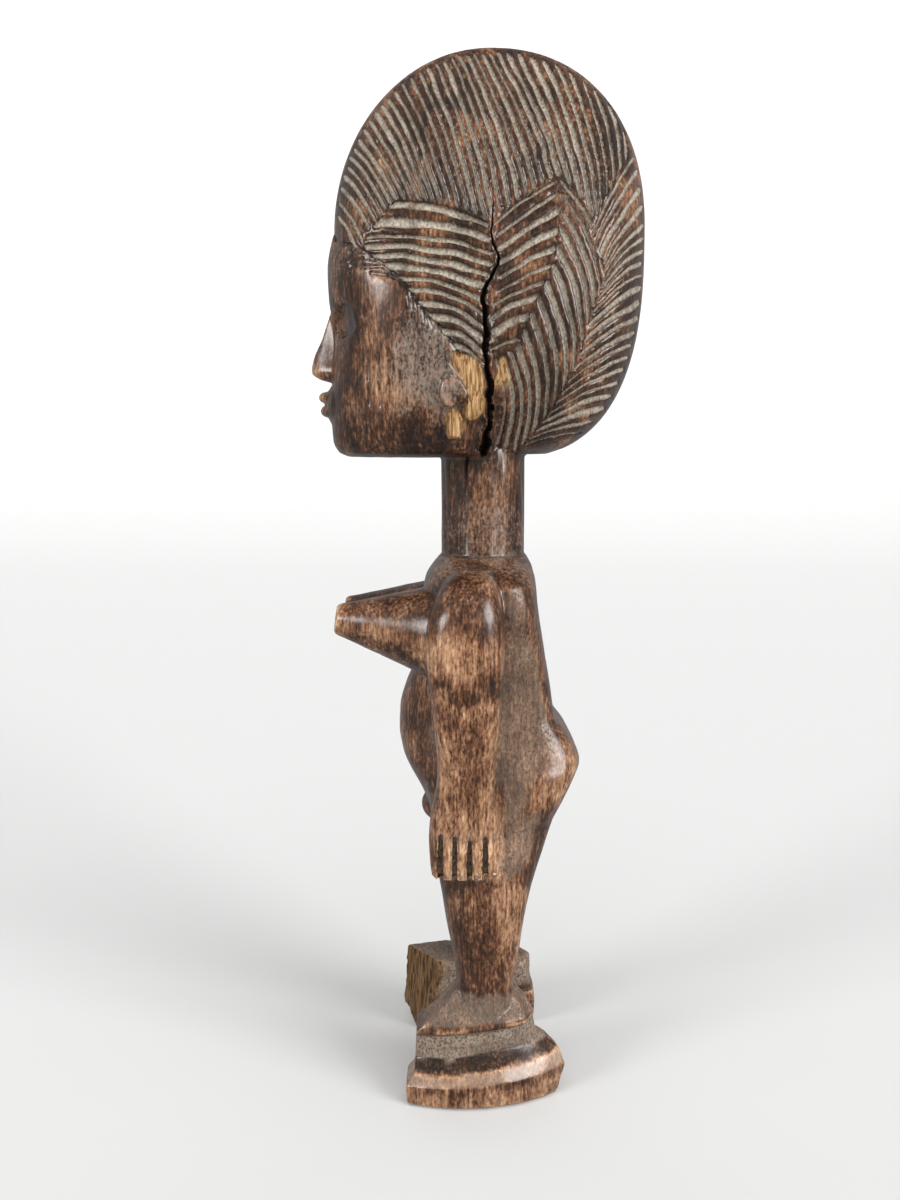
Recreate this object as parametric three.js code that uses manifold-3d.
// Ibeji figure: a standing female twin figure carved from one block of hardwood, with a tall combed
// coiffure, pointed breasts, arms held down at the sides and two feet with moulded edges.
// Millimetres, +Z up. The figure faces -Y and its left side is +X. The soles stand on Z = 0.
import * as THREE from "three";
import { LoftGeometry } from "three/addons/geometries/LoftGeometry.js";
import { mergeVertices } from "three/addons/utils/BufferGeometryUtils.js";
import Module from "manifold-3d";

// Driving dimensions
const figureHeight = 280; // soles to crown
const headHeight = 105.5; // flat underside of the jaw to the crown
const coiffureLength = 82.2; // front to back at its fullest
const headWidth = 53.6; // at the fullest level of the temples
const faceReach = 41; // neck axis to the front of the face
const neckWidth = 23;
const armSpan = 72; // over both upper arms
const breastSpacing = 27; // between the two tips
const breastReach = 39.5; // neck axis to a breast's tip
const breastTilt = 0.12; // how far the tips point up, in radians
const feetSpan = 60; // over the outer edges of both feet
const footLength = 44.2;
const footGap = 19; // between the inner edges of the feet
const grooveDepth = 1.2; // between two strands of hair
const panelDepth = 6; // how far a carved panel of hair is set into the head
const skullSink = 0.8; // the bare form under the hair, below the grooves
const rightCombing = 0.5; // strands on the right side for each one on the left
const slitWidth = 1.15; // between two fingers
const crackDepth = 6; // the drying crack behind the left ear
const markDepth = 0.9; // the cut marks on the cheeks

// Sizes that follow from them
const jawHeight = figureHeight - headHeight;
const headPart = headHeight / 100; // the head's drawings are in hundredths of its height
const bodyPart = jawHeight / 100; // the body's drawings are in hundredths of the height to the jaw
const faceWidth = headWidth * 0.94;

const wasm = await Module();
wasm.setup();

// A closed geometry as a solid, with its shared vertices merged.
function solid(geometry) {
  const bare = new THREE.BufferGeometry();
  bare.setAttribute("position", geometry.getAttribute("position"));
  bare.setIndex(geometry.index);
  const merged = mergeVertices(bare, 1e-4);
  return new wasm.Manifold(
    new wasm.Mesh({
      numProp: 3,
      vertProperties: merged.attributes.position.array,
      triVerts: new Uint32Array(merged.index.array),
    }),
  );
}

// A solid skinned through closed rings of points, each counterclockwise as seen from the last one.
function loft(rings) {
  return solid(new LoftGeometry(rings, { capStart: true, capEnd: true }));
}

// The mirror image of a ring in the plane X = 0, still running the same way round.
function mirrored(ring) {
  return ring.map((p) => new THREE.Vector3(-p.x, p.y, p.z)).reverse();
}

// Rings drawn for the left side, moved to the side asked for: 1 is the left and -1 the right.
function onSide(side, rings) {
  return side > 0 ? rings : rings.map(mirrored);
}

// A level ring with its own reach to the front and to the back, squarer as the power rises.
function levelRing(level, sides) {
  const ring = [];
  for (let i = 0; i < sides; i++) {
    const angle = (i / sides) * 2 * Math.PI;
    const across = Math.cos(angle);
    const along = Math.sin(angle);
    const power = 2 / (along < 0 ? level.frontPower : level.backPower);
    const x = level.halfWidth * Math.sign(across) * Math.abs(across) ** power;
    const depth = along < 0 ? -level.front : level.back;
    const y = depth * Math.abs(along) ** power;
    ring.push(new THREE.Vector3(level.x + x, y, level.z));
  }
  return ring;
}

// Torso and neck. Each row: height, reach to the front, reach to the back and half width, all in
// hundredths of the height to the jaw, then the powers of the front and the back half.
const torsoRows = [
  [35.5, 3.0, 5.4, 6.4, 2.4, 2.6],
  [38.5, 5.6, 8.8, 11.2, 2.4, 2.8],
  [42.5, 7.8, 11.0, 13.6, 2.4, 2.8],
  [47.0, 9.6, 13.0, 13.4, 2.2, 2.8],
  [50.8, 11.8, 14.7, 12.8, 2.1, 2.8],
  [52.9, 12.7, 15.3, 12.1, 2.0, 2.8],
  [56.4, 13.3, 13.7, 11.2, 2.0, 3.0],
  [60.0, 13.2, 11.3, 10.6, 2.0, 3.4],
  [64.5, 12.0, 10.5, 10.8, 2.1, 3.8],
  [68.5, 10.2, 9.8, 11.8, 2.3, 3.8],
  [72.5, 9.5, 9.1, 13.5, 2.6, 3.8],
  [77.0, 9.6, 8.4, 15.8, 2.8, 3.8],
  [80.5, 9.2, 8.1, 15.6, 2.8, 3.4],
  [82.8, 8.0, 7.7, 12.6, 2.6, 3.0],
  [84.4, 6.8, 6.9, 8.0, 2.2, 2.4],
];

function torso() {
  const rings = torsoRows.map(([z, front, back, halfWidth, frontPower, backPower]) =>
    levelRing(
      {
        z: z * bodyPart,
        x: 0,
        front: front * bodyPart,
        back: back * bodyPart,
        halfWidth: halfWidth * bodyPart,
        frontPower,
        backPower,
      },
      18,
    ),
  );
  return loft(rings);
}

function neck() {
  const length = jawHeight * 0.2;
  const bar = new THREE.CylinderGeometry(neckWidth / 2, neckWidth / 2, length, 14);
  bar.rotateX(Math.PI / 2);
  bar.translate(0, 0, jawHeight * 1.02 - length / 2);
  return solid(bar);
}

// Breast: a long blunt cone that points forward and a little up. The right one sits lower.
function breast(side) {
  const baseY = -7.2 * bodyPart;
  const height = (side > 0 ? 73.3 : 72.5) * bodyPart;
  const length = breastReach + baseY;
  const profile = [
    [0, 0],
    [7.5, 0],
    [2.5, 0.95],
    [2.1, 1],
    [0, 1],
  ];
  const outline = profile.map(([r, along]) => new THREE.Vector2(r * bodyPart, along * length));
  const cone = new THREE.LatheGeometry(outline, 12);
  cone.rotateX(Math.PI - breastTilt);
  cone.translate((side * breastSpacing) / 2, baseY, height);
  return solid(cone);
}

// Arm with its hand laid on the thigh. Each row: height, front, back, inner and outer edge.
const armRows = [
  [37.0, -7.9, 2.1, 13.3, 17.4],
  [39.5, -8.2, 2.3, 13.0, 17.8],
  [43.6, -8.4, 2.3, 12.8, 18.4],
  [46.5, -8.2, 2.1, 12.7, 18.5],
  [50.4, -7.4, 1.6, 12.7, 18.4],
  [54.5, -7.1, 1.7, 12.9, 18.8],
  [60.0, -7.5, 2.1, 13.2, 19.6],
  [66.0, -8.2, 2.5, 13.3, 20.3],
  [71.5, -8.7, 2.8, 12.9, 20.63],
  [76.0, -8.3, 2.7, 11.8, 20.4],
  [79.5, -7.2, 2.3, 10.5, 19.3],
  [81.8, -5.8, 1.6, 9.4, 17.4],
  [83.2, -3.9, 0.8, 8.8, 14.2],
];

function arm(side) {
  const widest = Math.max(...armRows.map((row) => row[4]));
  const widen = armSpan / 2 / (widest * bodyPart);
  const rings = armRows.map(([z, front, back, inner, outer]) => {
    const middle = ((front + back) / 2) * bodyPart;
    const reach = ((back - front) / 2) * bodyPart;
    const ring = levelRing(
      {
        z: z * bodyPart,
        x: ((inner + outer) / 2) * bodyPart * widen,
        front: reach,
        back: reach,
        halfWidth: ((outer - inner) / 2) * bodyPart * widen,
        frontPower: 2.7,
        backPower: 2.7,
      },
      12,
    );
    return ring.map((p) => p.setY(p.y + middle));
  });
  return loft(onSide(side, rings));
}

// The slits between the fingers, a wider one behind the thumb.
const slitRows = [
  [-6.55, 1.1],
  [-4.45, 1],
  [-2.25, 1],
  [0.1, 1.1],
];

function fingerSlits(side) {
  return slitRows.map(([y, share], i) => {
    const top = (i === 0 ? 45 : 44.5) * bodyPart;
    const foot = 35 * bodyPart;
    const wide = (slitWidth * share) / 2;
    const inner = 15.1 * bodyPart;
    const outer = 22 * bodyPart;
    const rings = [
      [foot, wide * 1.25, inner],
      [top - 3 * bodyPart, wide, inner],
      [top, 0.15, outer - 2.9 * bodyPart],
    ].map(([z, w, x]) => [
      new THREE.Vector3(x, y * bodyPart - w, z),
      new THREE.Vector3(outer, y * bodyPart - w, z),
      new THREE.Vector3(outer, y * bodyPart + w, z),
      new THREE.Vector3(x, y * bodyPart + w, z),
    ]);
    return loft(onSide(side, rings));
  });
}

// Leg, a straight taper from hip to ankle. Each row: height, front, back, middle and half width.
const legRows = [
  [12.0, 4.3, 4.9, 10.5, 4.4],
  [18.2, 4.2, 4.8, 10.3, 4.0],
  [22.0, 4.6, 5.5, 10.1, 4.4],
  [27.5, 5.7, 6.3, 9.5, 5.2],
  [32.0, 6.5, 7.3, 8.7, 6.2],
  [37.0, 7.4, 8.8, 7.6, 6.9],
  [43.0, 7.9, 10.8, 6.9, 6.8],
  [48.0, 8.6, 12.8, 6.6, 6.0],
];

function leg(side) {
  const rings = legRows.map(([z, front, back, middle, halfWidth]) =>
    levelRing(
      {
        z: z * bodyPart,
        x: middle * bodyPart,
        front: front * bodyPart,
        back: back * bodyPart,
        halfWidth: halfWidth * bodyPart,
        frontPower: 2.3,
        backPower: 2.3,
      },
      12,
    ),
  );
  return loft(onSide(side, rings));
}

// Foot: a thick rim with an arc for its outer edge, a hollow waist and an upper tier. Each row:
// height, then how far the edge draws in at the outer side, the front, the rear and the inner
// side, and how much higher the row lies at the rear than at the front.
const footRows = [
  [0, 1.1, 1.0, 1.5, 0.6, 0],
  [0.6, 0.2, 0.3, 1.1, 0.1, 0.2],
  [3.8, 0, 0.1, 0, 0, 1.4],
  [5.4, 1.1, 1.3, 0.9, 0, 2.5],
  [7.1, 2.6, 1.45, 2.6, 0.1, 2.6],
  [8.6, 3.0, 1.5, 4.6, 0.2, 2.5],
  [11.2, 2.9, 1.6, 5.1, 0.2, 2.2],
  [12.2, 1.7, 1.7, 5.0, 0.2, 2.0],
  [13.0, 1.8, 2.6, 5.3, 0.3, 1.6],
  [14.5, 2.9, 4.8, 5.9, 0.6, 1.0],
  [17.6, 4.6, 7.6, 8.6, 1.1, 0],
];
const footFront = -12; // of the left foot, in hundredths of the height to the jaw
const edgeRadius = feetSpan * 0.7;
const levelShare = 0.3; // of the foot's length, where the rising rows lie at their own height
const tierStart = 12.2; // the right foot is worn flat above this height
const tierLeft = { 1: 1, "-1": 0.3 }; // how much of the height above it each side keeps
const longer = { 1: 0, "-1": 3.6 }; // the right foot reaches further forward
const shapeLeft = { 1: 1, "-1": 0.2 }; // it is worn to a block: how far its edge still draws in
const blockDraw = { side: 1, front: 1.5, rear: 4.1 }; // and the block's own draw

function footRing([height, side, front, rear, inner, climb], which) {
  const drawn = (value, block) => block + (value - block) * shapeLeft[which];
  const outerX = feetSpan / 2 - drawn(side, blockDraw.side) * bodyPart;
  const innerX = footGap / 2 + inner * bodyPart;
  const frontY = (footFront + drawn(front, blockDraw.front) - longer[which]) * bodyPart;
  const rearY = footFront * bodyPart + footLength - drawn(rear, blockDraw.rear) * bodyPart;
  const middleY = footFront * bodyPart + footLength * 0.36;
  const corner = (rearY - frontY) * 0.1;
  const wide = outerX - innerX;
  const ring = [];
  for (let i = 0; i <= 7; i++) {
    const y = frontY + ((rearY - corner - frontY) * i) / 7;
    const x = outerX - edgeRadius + Math.sqrt(edgeRadius ** 2 - (y - middleY) ** 2);
    ring.push([x, y]);
  }
  ring.push([outerX - wide * 0.5, rearY - corner * 0.1]);
  ring.push([innerX + wide * 0.22, rearY - corner * 0.4]);
  ring.push([innerX, rearY - corner * 2.2]);
  ring.push([innerX, frontY + corner * 2.4]);
  ring.push([innerX + wide * 0.32, frontY]);
  const above = Math.max(height - tierStart, 0);
  const level = height - above + above * tierLeft[which];
  return ring.map(([x, y]) => {
    const along = (y - footFront * bodyPart) / footLength;
    return new THREE.Vector3(x, y, (level + climb * (along - levelShare)) * bodyPart);
  });
}

function foot(side) {
  const rings = footRows.map((row) => footRing(row, side));
  return loft(onSide(side, rings));
}

// The right foot is broken: a raw face across its front, turned inwards, with its lower corner
// chipped off, and an inner side that draws in towards the sole.
const breakPlace = new THREE.Vector3(-18, -19.6, 0);
const breakTurn = Math.PI * 0.2;
const breakLean = -0.05;
const chipNormal = new THREE.Vector3(0.386, 0.578, 0.719); // into the foot

function brokenFoot() {
  const cutter = 2 * footLength;
  const front = new THREE.BoxGeometry(cutter, cutter, cutter);
  front.translate(0, -cutter / 2, 0);
  front.rotateX(breakLean);
  front.rotateZ(breakTurn);
  front.translate(...breakPlace.toArray());
  const innerHeight = 17 * bodyPart;
  const inner = new THREE.BoxGeometry(cutter, cutter, innerHeight);
  inner.translate(cutter / 2, 0, innerHeight / 2);
  inner.rotateY(0.33);
  inner.rotateZ(0.1);
  inner.translate(-10.8 * bodyPart, 0, -0.6 * bodyPart);
  return foot(-1)
    .subtract(solid(front))
    .subtract(solid(inner))
    .trimByPlane(chipNormal.toArray(), chipNormal.dot(breakPlace));
}

// The coiffure seen from the side is a tall oval about this middle, cut flat by the jaw.
const crown = {
  y: 1.33 * headPart,
  z: 55 * headPart,
  reach: coiffureLength / 2,
  rise: 45 * headPart,
  frontFall: 85 * headPart,
  backFall: 56.4 * headPart,
};

// How square the oval is in the quarter that holds a point: the back is fuller than an ellipse,
// most of all its lower part.
function squareness(along, up) {
  if (along <= 0) return 2;
  return up > 0 ? 2.25 : 2.8;
}

// How far out a point is in the oval: 0 in its middle and 1 on its outline.
function outward(y, z) {
  const along = y - crown.y;
  const up = z - jawHeight - crown.z;
  const fall = along < 0 ? crown.frontFall : crown.backFall;
  const height = up > 0 ? crown.rise : fall;
  const power = squareness(along, up);
  const sum = Math.abs(along / crown.reach) ** power + Math.abs(up / height) ** power;
  return Math.min(sum ** (1 / power), 1);
}

// Half the head's thickness there: widest at the temples, narrowing to a crest, round at the edge.
function halfThickness(y, z) {
  const share = Math.max((z - jawHeight) / headHeight, 0);
  const widest = 0.36;
  const below = 0.25 * Math.max((widest - share) / widest, 0) ** 2.2;
  const above = 0.81 * Math.max((share - widest) / (1 - widest), 0) ** 1.75;
  const level = (headWidth / 2) * (1 - below - above);
  return level * Math.sqrt(1 - outward(y, z) ** 5);
}

// A point on the left side of the hair, cut in square to the surface by a depth. The cut fades
// out at the very crest.
function carvedPoint(y, z, depth) {
  const step = 0.05;
  const x = halfThickness(y, z);
  const slopeY = (halfThickness(y + step, z) - halfThickness(y - step, z)) / (2 * step);
  const slopeZ = (halfThickness(y, z + step) - halfThickness(y, z - step)) / (2 * step);
  const normal = new THREE.Vector3(1, -slopeY, -slopeZ).clampLength(0, 4).normalize();
  const cut = depth * (1 - outward(y, z) ** 30);
  return new THREE.Vector3(x, y, z).addScaledVector(normal, -cut);
}

// A point of the oval at an angle, with 0 at the back and 90 degrees at the crown.
function ovalPoint(angle, share) {
  const across = Math.cos(angle);
  const up = Math.sin(angle);
  const power = 2 / squareness(across, up);
  const fall = across < 0 ? crown.frontFall : crown.backFall;
  const y = crown.y + share * crown.reach * Math.sign(across) * Math.abs(across) ** power;
  const height = up > 0 ? crown.rise : fall;
  const z = jawHeight + crown.z + share * height * Math.sign(up) * Math.abs(up) ** power;
  return [y, z];
}

// The bare form under the hair: rings of the oval on both sides, meeting at the crest.
function skull() {
  const shares = [0.99, 0.95, 0.86, 0.72, 0.5, 0.06];
  const spokes = 32;
  const ringAt = (share, side) => {
    const ring = [];
    for (let i = 0; i < spokes; i++) {
      const [y, z] = ovalPoint((i / spokes) * 2 * Math.PI, share);
      const point = carvedPoint(y, z, grooveDepth + skullSink);
      ring.push(point.setX(side * point.x));
    }
    return ring;
  };
  const left = shares.map((share) => ringAt(share, 1));
  const right = shares.map((share) => ringAt(share, -1)).reverse();
  const rim = ringAt(1, 0);
  return loft([...right, rim, ...left]);
}

// Zones of combed hair. Each strand runs from a start to an end, and each row of guides gives the
// two ends in hundredths of the head's height: Y and Z of the start, Y and Z of the end.
const crownEnds = [
  [-34.5, 53],
  [-24.5, 52.3],
  [-19, 58.7],
  [-11.5, 59],
  [-0.5, 56],
  [11.5, 62.2],
  [21, 58],
  [28, 59],
  [34.2, 69],
];
const crownFrom = (175 * Math.PI) / 180;
const crownTo = (25 * Math.PI) / 180;
const hairZones = [
  {
    strands: 34,
    rows: [0, 0.12, 0.45, 1],
    bow: -0.8,
    guides: crownEnds.map(([y, z], i) => {
      const angle = crownFrom + ((crownTo - crownFrom) * i) / (crownEnds.length - 1);
      const [startY, startZ] = ovalPoint(angle, 0.975);
      return [startY / headPart, (startZ - jawHeight) / headPart, y, z];
    }),
  },
  {
    strands: 10,
    rows: [0, 0.35, 0.7, 1],
    bow: 1.4,
    guides: [
      [-20.3, 58.6, 0.2, 55],
      [-29, 49.2, 0.8, 47.5],
      [-19.6, 42.2, 0, 38.6],
      [-11.8, 32.6, -1.2, 29],
      [-6.8, 25.4, -0.8, 20.8],
    ],
  },
  {
    strands: 10,
    rows: [0, 0.5, 1],
    bow: 0.5,
    guides: [
      [2, 55.6, 16.6, 64.8],
      [2.8, 48, 16.8, 55.4],
      [3.2, 40, 15.6, 45.6],
      [1.6, 32, 11.4, 36.4],
      [2.4, 24, 7, 25.9],
    ],
  },
  {
    strands: 13,
    rows: [0, 0.33, 0.67, 1],
    bow: 2,
    guides: [
      [17.4, 64.2, 28.2, 46],
      [17.6, 55.6, 25.6, 31.5],
      [15.2, 43.4, 20.6, 18.4],
      [10.8, 33.2, 14.6, 7.4],
      [7, 24.6, 8.2, 1.5],
      [2.4, 22.4, 2.4, 1.2],
    ],
  },
  {
    strands: 17,
    rows: [0, 0.55, 0.85, 1],
    bow: 0.8,
    guides: [
      [29, 58, 36.4, 71],
      [28.6, 47.6, 39.4, 56.6],
      [26.2, 34.8, 39.2, 43.6],
      [21.4, 20.4, 36.6, 29],
      [15.4, 9.4, 32.4, 16.8],
      [9.4, 1.6, 26.2, 5],
    ],
  },
  {
    strands: 9,
    rows: [0, 1],
    bow: 0,
    guides: [
      [-36.6, 51.6, -34.6, 55],
      [-27.5, 43.6, -24.4, 46.4],
      [-17.4, 34.2, -14.8, 37.4],
      [-9.4, 24.8, -7.8, 27.6],
    ],
  },
];

// The point a share of the way along the strand that starts a share of the way across the zone.
function strandPoint(zone, across, along) {
  const starts = new THREE.SplineCurve(zone.guides.map((g) => new THREE.Vector2(g[0], g[1])));
  const ends = new THREE.SplineCurve(zone.guides.map((g) => new THREE.Vector2(g[2], g[3])));
  const start = starts.getPoint(across);
  const end = ends.getPoint(across);
  const run = end.clone().sub(start);
  const bend = new THREE.Vector2(-run.y, run.x).normalize();
  const point = start.clone().addScaledVector(run, along);
  point.addScaledVector(bend, zone.bow * Math.sin(Math.PI * along));
  return [point.x * headPart, jawHeight + point.y * headPart];
}

// One zone as a slab set into the head, its outer face ridged: a groove, then a strand's crest. The
// right side is combed in wider strands.
function hairPanel(zone, side) {
  const strands = side > 0 ? zone.strands : Math.round(zone.strands * rightCombing);
  const wide = 2 * strands + 1;
  const last = zone.rows.length - 1;
  const outer = [];
  const inner = [];
  for (const along of zone.rows) {
    for (let i = 0; i < wide; i++) {
      const [y, z] = strandPoint(zone, i / (wide - 1), along);
      const point = carvedPoint(y, z, i % 2 === 0 ? grooveDepth : 0);
      const innerX = Math.max(point.x - panelDepth, -0.5 * point.x);
      outer.push(side * point.x, point.y, point.z);
      inner.push(side * innerX, point.y, point.z);
    }
  }
  const below = wide * (last + 1);
  const faces = [];
  const quad = (a, b, c, d) => faces.push(a, b, c, a, c, d);
  for (let row = 0; row < last; row++) {
    for (let i = 0; i < wide - 1; i++) {
      const a = row * wide + i;
      quad(a, a + 1, a + 1 + wide, a + wide);
      quad(below + a, below + a + wide, below + a + 1 + wide, below + a + 1);
    }
    const a = row * wide;
    const b = a + wide - 1;
    quad(a, a + wide, below + a + wide, below + a);
    quad(b, below + b, below + b + wide, b + wide);
  }
  for (let i = 0; i < wide - 1; i++) {
    const end = last * wide + i;
    quad(i, below + i, below + i + 1, i + 1);
    quad(end, end + 1, below + end + 1, below + end);
  }
  const geometry = new THREE.BufferGeometry();
  geometry.setAttribute("position", new THREE.Float32BufferAttribute([...outer, ...inner], 3));
  geometry.setIndex(faces);
  const slab = solid(geometry);
  if (slab.volume() > 0) return slab;
  // The zone's guides run the other way round, so its faces are turned outward.
  geometry.setIndex(faces.reverse());
  return solid(geometry);
}

// Face: level sections from the chin to the hair. Each row: height and reach in hundredths of the
// head's height past faceReach, and the half width as a share of faceWidth.
const faceRows = [
  [-0.7, -4.2, 0.34],
  [0.4, -1.8, 0.4],
  [3.5, -0.3, 0.44],
  [10, 0, 0.475],
  [19, -0.4, 0.5],
  [28, -1, 0.505],
  [38.5, 0.4, 0.495],
  [46, 0.6, 0.48],
  [53, -0.6, 0.465],
  [58, -2.6, 0.44],
];

function face() {
  const rings = faceRows.map(([z, past, share]) => {
    const height = jawHeight + z * headPart;
    const reach = faceReach + past * headPart;
    const halfWidth = share * faceWidth;
    const back = 1.7 * headPart;
    const ring = [new THREE.Vector3(halfWidth, back, height)];
    ring.push(new THREE.Vector3(-halfWidth, back, height));
    for (let i = 0; i <= 12; i++) {
      const angle = Math.PI * (1 + i / 12);
      const x = halfWidth * Math.sign(Math.cos(angle)) * Math.abs(Math.cos(angle)) ** 0.8;
      ring.push(new THREE.Vector3(x, -reach * Math.abs(Math.sin(angle)) ** 0.8, height));
    }
    return ring;
  });
  return loft(rings);
}

// The front of the face at a distance from its middle line.
function faceFront(x) {
  return -faceReach * (1 - Math.abs((2 * x) / faceWidth) ** 2.5) ** 0.4;
}

// Nose: a wedge that widens and rises to its tip. Each row: height, reach past the face, half width.
const noseRows = [
  [18.2, 0.6, 4.2],
  [19, 3.2, 5.2],
  [20.8, 5.2, 5.4],
  [24, 4.7, 4],
  [29, 2.6, 2.6],
  [35, 0.6, 1.9],
];

function nose() {
  const rootY = -faceReach * 0.7;
  const rings = noseRows.map(([z, past, halfWidth]) => {
    const height = jawHeight + z * headPart;
    const reach = faceReach + past * headPart + rootY;
    const ring = [];
    for (let i = 0; i <= 8; i++) {
      const angle = Math.PI * (1 + i / 8);
      const across = Math.cos(angle);
      const x = halfWidth * headPart * Math.sign(across) * Math.abs(across) ** 1.25;
      ring.push(new THREE.Vector3(x, rootY - reach * Math.abs(Math.sin(angle)) ** 1.25, height));
    }
    return ring;
  });
  return loft(rings);
}

// One lip: a full bar bent round the front of the face.
function lip(low, high, past) {
  const middleY = -faceReach * 0.72;
  const rows = [
    [0, -1.6],
    [0.3, 0],
    [0.8, 0],
    [1, -1.2],
  ];
  const rings = rows.map(([share, draw]) => {
    const reach = faceReach + (past + draw) * headPart + middleY;
    const ring = levelRing(
      {
        z: jawHeight + (low + (high - low) * share) * headPart,
        x: 0,
        front: reach,
        back: 2,
        halfWidth: (9.6 + draw * 0.5) * headPart,
        frontPower: 2,
        backPower: 2,
      },
      14,
    );
    return ring.map((p) => p.setY(p.y + middleY));
  });
  return loft(rings);
}

// A ball stretched to three half sizes, tilted about Z and moved to its place.
function ball(half, turn, place, sides = 9) {
  const shape = new THREE.SphereGeometry(1, sides, Math.round(sides * 0.6));
  shape.scale(...half);
  shape.rotateZ(turn);
  shape.translate(...place);
  return solid(shape);
}

// Eye: a swelling lid, an almond cut into it and the ball within.
function eye(side) {
  const x = side * 11.8 * headPart;
  const z = jawHeight + 32.6 * headPart;
  const y = faceFront(x);
  const turn = side * 0.4;
  const lids = ball([7.8 * headPart, 2.9 * headPart, 5 * headPart], turn, [x, y + 0.8, z]);
  const reach = 2.2 * headPart;
  const cut = ball([6.4 * headPart, 2.2, 3.2 * headPart], turn, [x + side * 0.7, y - reach, z]);
  const globe = ball([6.5 * headPart, 2.4 * headPart, 3.5 * headPart], turn, [x, y + 0.6, z]);
  return lids.subtract(cut).add(globe);
}

// Three upright cut marks on each cheek, V-shaped and deepest halfway.
function cheekMarks(side) {
  return [0, 1, 2].map((i) => {
    const x = (15.2 + i * 2.5) * headPart;
    const place = new THREE.Vector3(x, faceFront(x), 0);
    const slope = faceFront(x + 0.5) - faceFront(x - 0.5);
    const out = new THREE.Vector3(slope, -1, 0).normalize();
    const across = new THREE.Vector3(-out.y, out.x, 0);
    const low = jawHeight + (11 + i) * headPart;
    const high = jawHeight + (23.5 - i) * headPart;
    const rings = [low, (low + high) / 2, high].map((z, j) => {
      const deep = j === 1 ? markDepth : -0.3;
      const wide = j === 1 ? markDepth * 1.6 : 0.2;
      const bottom = place.clone().addScaledVector(out, -deep);
      const top = place.clone().addScaledVector(out, 1.5);
      const near = top.clone().addScaledVector(across, -wide);
      const far = top.clone().addScaledVector(across, wide);
      return [bottom, near, far].map((p) => p.setZ(z));
    });
    return loft(onSide(side, rings));
  });
}

// A flat-topped plate on the side of the head with slanted edges, from an outline in the head's
// drawing units: the worn and broken remains of the left ear.
function sidePlate(outline, rise) {
  const middle = outline.reduce((sum, [y, z]) => [sum[0] + y, sum[1] + z], [0, 0]);
  const centre = middle.map((value) => value / outline.length);
  const ringAt = (spread, lift) =>
    outline.map(([y, z]) => {
      const placeY = (centre[0] + (y - centre[0]) * spread) * headPart;
      const placeZ = jawHeight + (centre[1] + (z - centre[1]) * spread) * headPart;
      return new THREE.Vector3(faceWidth / 2 + lift, placeY, placeZ);
    });
  return loft([ringAt(1.15, -4), ringAt(1, rise * 0.4), ringAt(0.8, rise)]);
}

function leftEar() {
  const lobe = [
    [-12.1, 18.3],
    [-11.6, 12.7],
    [-8.5, 11.5],
    [-3.3, 14.6],
    [-6.2, 19.4],
  ];
  const upperBreak = [
    [-7.8, 24.3],
    [-8.5, 21.3],
    [-4.7, 11.1],
    [-2.5, 8.5],
    [0.4, 12.7],
    [-0.5, 20.8],
  ];
  const lowerBreak = [
    [-9.5, 10.8],
    [-10.2, 4.4],
    [-6.6, 4.4],
    [-5.4, 7.1],
    [-6.1, 10.4],
  ];
  return [sidePlate(lobe, 1.6), sidePlate(upperBreak, 1.1), sidePlate(lowerBreak, 1.2)];
}

// The low swelling that carries the lips.
function muzzle() {
  const half = [9.5 * headPart, 4.2 * headPart, 6.6 * headPart];
  return ball(half, 0, [0, -faceReach * 0.93, jawHeight + 12.6 * headPart]);
}

// The right ear is whole: a low shell with a hollow.
function rightEar() {
  const place = [-faceWidth * 0.49, -5.5 * headPart, jawHeight + 15 * headPart];
  const shell = ball([2.6, 5 * headPart, 9.5 * headPart], 0, place);
  const hollow = ball([1.8, 2.9 * headPart, 6.4 * headPart], 0, [place[0] - 2.4, place[1], place[2]]);
  return shell.subtract(hollow);
}

// The crack that runs down behind the left ear. Each row: Y and Z of its path, its width in mm and
// its depth as a share of crackDepth.
const crackRows = [
  [1.3, 60, 0.4, 0.35],
  [1.5, 51.2, 0.7, 0.45],
  [2.4, 44.9, 1, 0.55],
  [0.1, 39.6, 1.4, 0.7],
  [-0.8, 36.2, 1.8, 0.8],
  [-0.1, 27, 2.2, 1],
  [0.9, 17.8, 2.5, 1],
  [0.8, 6.1, 2.4, 1],
  [-1, -2, 2.2, 1],
];

function crack() {
  const rings = crackRows.map(([y, z, width, share]) => {
    const placeY = y * headPart;
    const placeZ = jawHeight + z * headPart;
    const surface = halfThickness(placeY, placeZ);
    const depth = crackDepth * share;
    const wide = (width / 2) * (1 + 3 / depth);
    return [
      new THREE.Vector3(surface - depth, placeY, placeZ),
      new THREE.Vector3(surface + 3, placeY + wide, placeZ),
      new THREE.Vector3(surface + 3, placeY - wide, placeZ),
    ];
  });
  return loft(rings);
}

// The flat underside of the jaw and of the hair.
function belowJaw() {
  const block = new THREE.BoxGeometry(120, 120, 60);
  block.translate(0, 0, jawHeight - 30);
  return solid(block);
}

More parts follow.
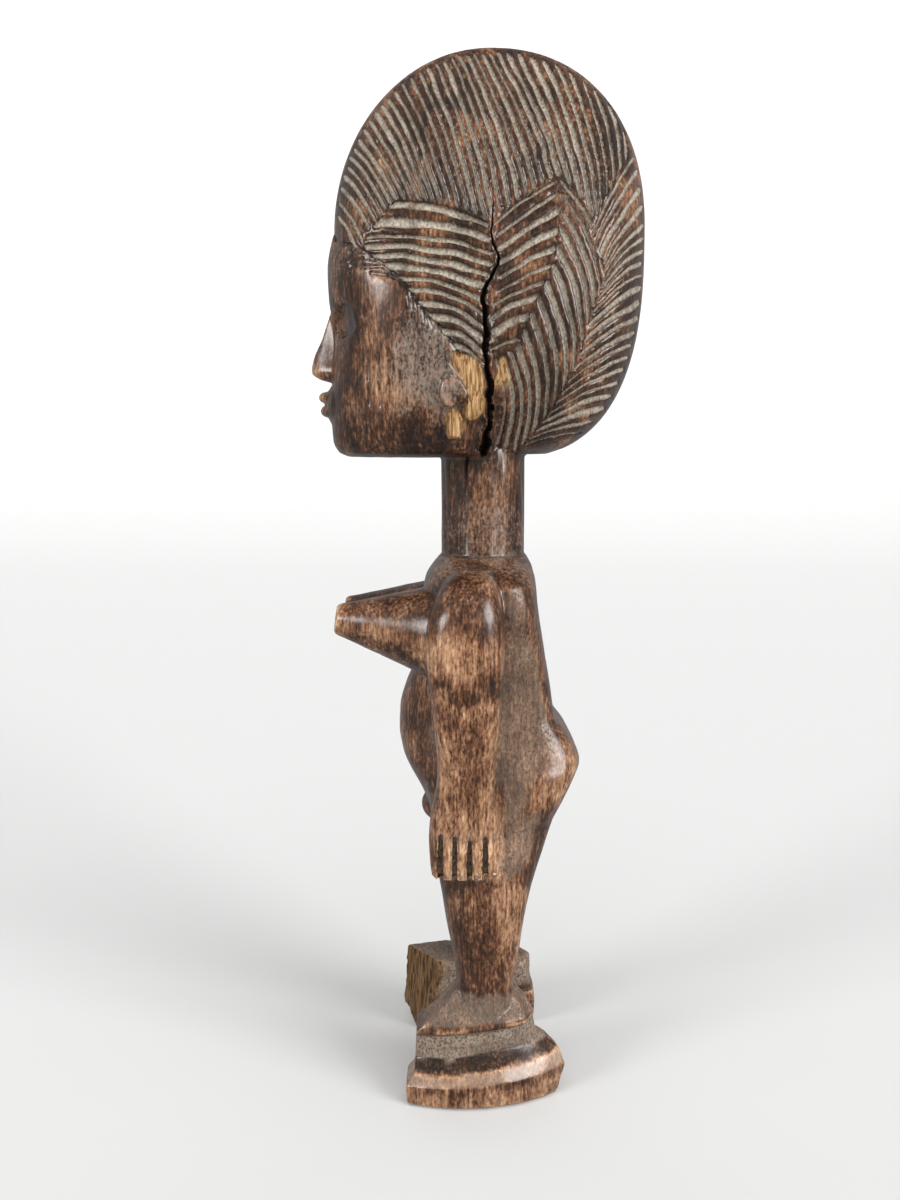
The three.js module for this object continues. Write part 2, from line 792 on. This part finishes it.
// The cleft between the buttocks. Each row: height, Y of its bottom and its width.
function seatCleft() {
  const rows = [
    [37, 10.6, 0.3],
    [43, 11.9, 0.9],
    [50, 14, 1],
    [56, 13.6, 0.3],
  ];
  const openY = 17 * bodyPart;
  const rings = rows.map(([z, y, wide]) => [
    new THREE.Vector3(0, (y - wide * 0.6) * bodyPart, z * bodyPart),
    new THREE.Vector3(wide * 1.6 * bodyPart, openY, z * bodyPart),
    new THREE.Vector3(-wide * 1.6 * bodyPart, openY, z * bodyPart),
  ]);
  return loft(rings);
}

// The low mound between the thighs.
function mound() {
  const half = [2.9 * bodyPart, 2.6 * bodyPart, 2.7 * bodyPart];
  return ball(half, 0, [0, -7.2 * bodyPart, 43.8 * bodyPart]);
}

function head() {
  let made = skull().subtract(belowJaw()).add(face());
  for (const side of [1, -1]) {
    for (const zone of hairZones) made = made.add(hairPanel(zone, side));
    made = made.add(eye(side));
    for (const mark of cheekMarks(side)) made = made.subtract(mark);
  }
  for (const piece of leftEar()) made = made.add(piece);
  for (const piece of [rightEar(), nose(), muzzle(), lip(9.4, 12.6, 3), lip(12.9, 16, 3.4)]) {
    made = made.add(piece);
  }
  return made.subtract(crack());
}

function body() {
  let made = torso().add(neck()).add(mound()).subtract(seatCleft());
  for (const side of [1, -1]) {
    let limb = arm(side);
    for (const slit of fingerSlits(side)) limb = limb.subtract(slit);
    made = made.add(limb).add(breast(side)).add(leg(side));
  }
  return made.add(foot(1)).add(brokenFoot());
}

const carved = body().add(head()).getMesh();
const geometry = new THREE.BufferGeometry();
geometry.setAttribute("position", new THREE.BufferAttribute(carved.vertProperties, 3));
geometry.setIndex(new THREE.BufferAttribute(carved.triVerts, 1));
geometry.computeBoundingBox();
const middle = geometry.boundingBox.getCenter(new THREE.Vector3());
geometry.translate(-middle.x, -middle.y, -geometry.boundingBox.min.z);
geometry.computeVertexNormals();

// Dark oiled hardwood, worn by handling
const wood = new THREE.MeshStandardMaterial({ color: 0x4a2a19, roughness: 0.45, metalness: 0 });
const figure = new THREE.Mesh(geometry, wood);
figure.name = "ibeji_figure";

const group = new THREE.Group();
group.add(figure);

export default group;
